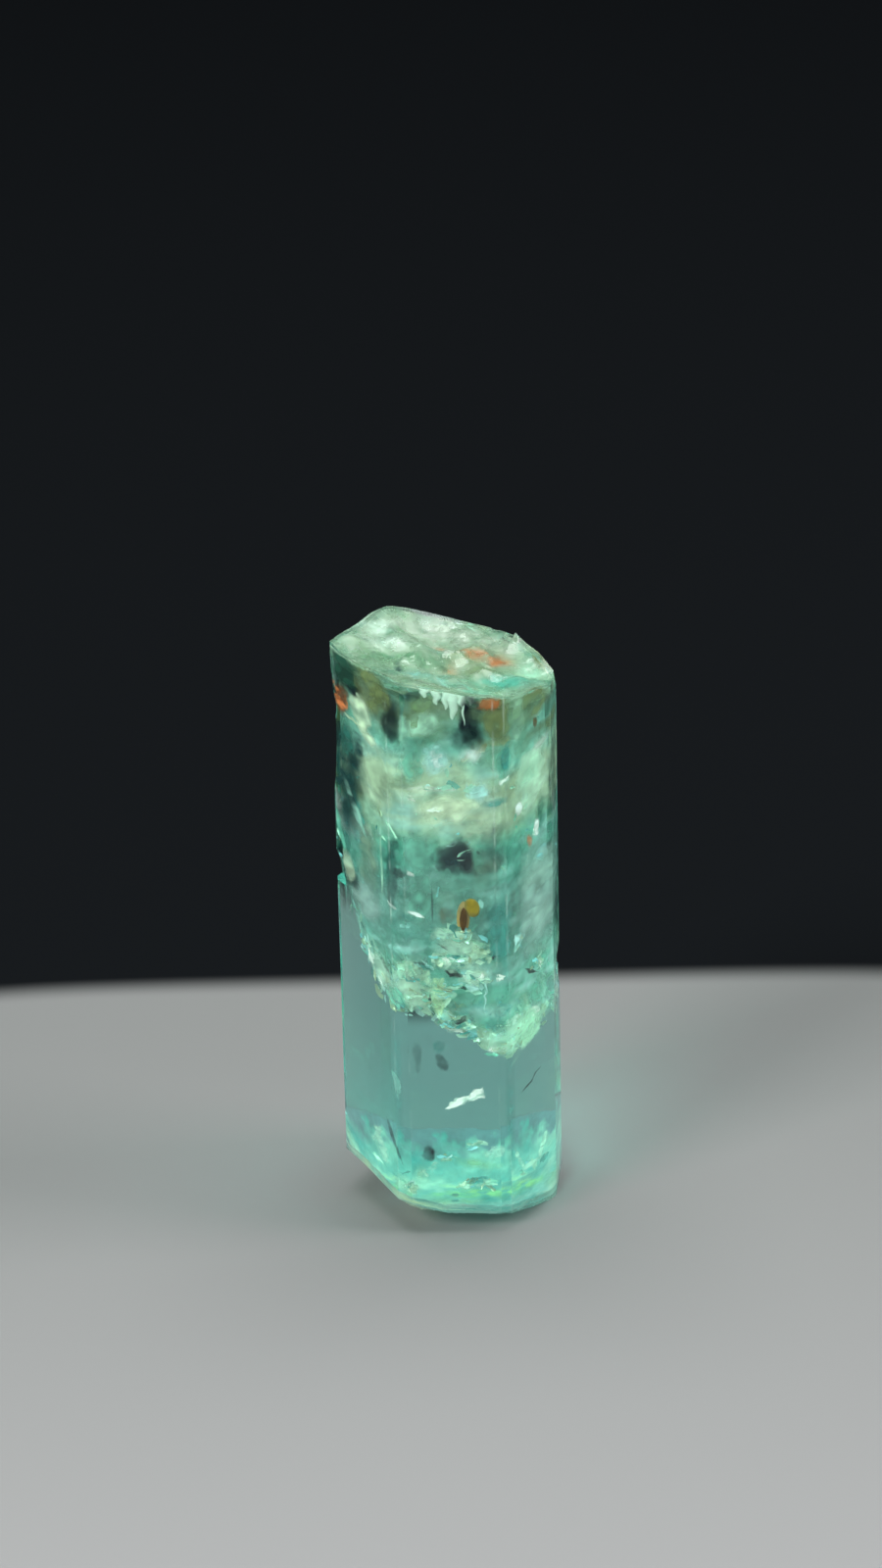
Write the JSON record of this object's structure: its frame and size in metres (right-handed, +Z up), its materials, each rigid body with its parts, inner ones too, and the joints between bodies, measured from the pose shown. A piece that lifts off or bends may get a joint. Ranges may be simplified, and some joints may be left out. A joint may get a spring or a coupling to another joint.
{
  "type": "emerald crystal",
  "caption": "Upright emerald crystal, a clear green six-sided prism of beryl, broken across at both ends, with milky fractures and amber and dark inclusions inside.",
  "frame": {"origin": "middle of the base that the crystal stands on", "axes": "+Z up along the prism, -Y towards the widest front face, +X to its right"},
  "size_m": [0.0102, 0.0096, 0.0286],
  "materials": {
    "emerald": "clear blue-green beryl with flat glossy prism faces, frosted broken ends and milky, amber and dark inclusions inside"
  },
  "bodies": {
    "root": {"emerald_crystal": "emerald"}
  },
  "joints": []
}
